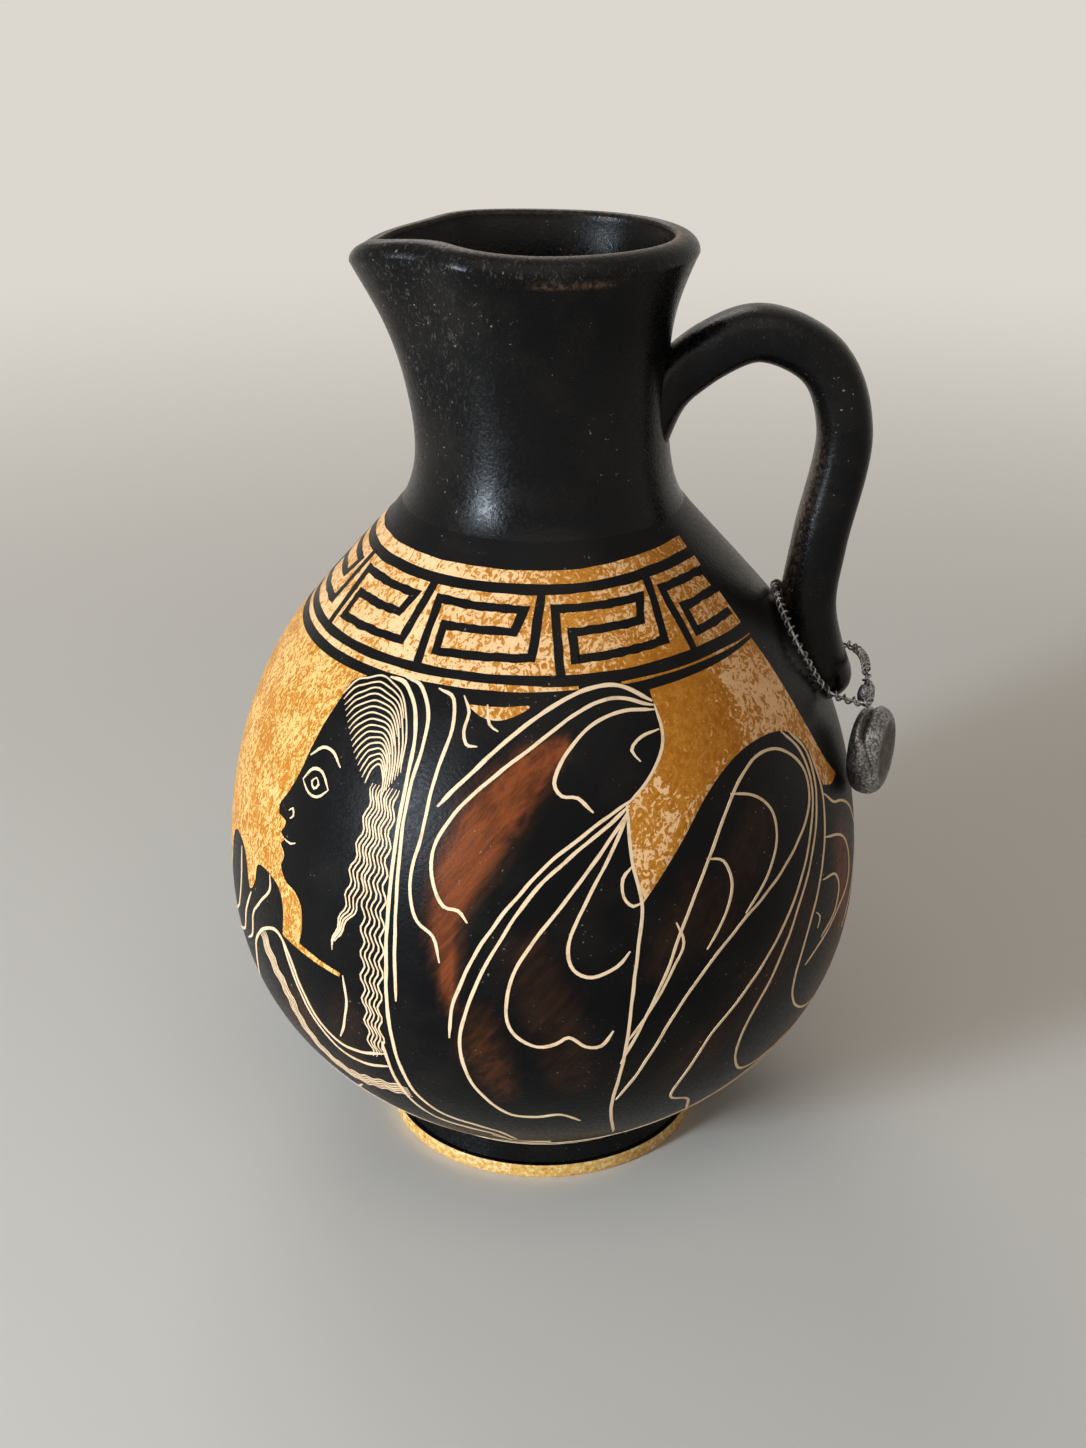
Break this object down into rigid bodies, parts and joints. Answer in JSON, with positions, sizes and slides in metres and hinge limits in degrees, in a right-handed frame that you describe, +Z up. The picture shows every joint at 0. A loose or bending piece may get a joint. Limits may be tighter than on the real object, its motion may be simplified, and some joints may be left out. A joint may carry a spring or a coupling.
{
  "type": "ceramic jug",
  "caption": "Round-bellied ceramic jug with a pinched pouring spout, a looped handle, a painted key band and a lead seal that hangs from a wire loop round the handle's root.",
  "frame": {"origin": "on the jug's axis, at the middle of the foot's flat underside", "axes": "+Z up along the jug's axis, +X towards the handle, -X towards the spout, -Y the painted side that the picture shows"},
  "size_m": [0.1148, 0.1094, 0.1612],
  "materials": {
    "black_slip": "burnished black slip, worn brown at the edges",
    "painted_clay": "ochre clay ground with black slip painting and cut cream lines",
    "sealing_wire": "dull tarnished wire",
    "lead": "dull pitted lead, burnished on the high spots"
  },
  "bodies": {
    "jug": {"foot": "black_slip", "belly": "painted_clay", "neck_and_spout": "black_slip", "handle": "black_slip"},
    "wire_loop": {"seal_wire_core": "sealing_wire", "seal_wire_spiral": "sealing_wire", "seal_ear": "lead"},
    "seal": {"lead_seal": "lead"}
  },
  "joints": [
    {"name": "loop_lift", "type": "hinge", "parent": "jug", "child": "wire_loop", "pos_m": [0.03901, 0, 0.10027], "axis": [0, -1, 0], "range_deg": [0, 60]},
    {"name": "seal_swing", "type": "hinge", "parent": "wire_loop", "child": "seal", "pos_m": [0.05524, -0.0105, 0.0794], "axis": [-0.4067, -0.9135, 0], "range_deg": [0, 35]}
  ]
}
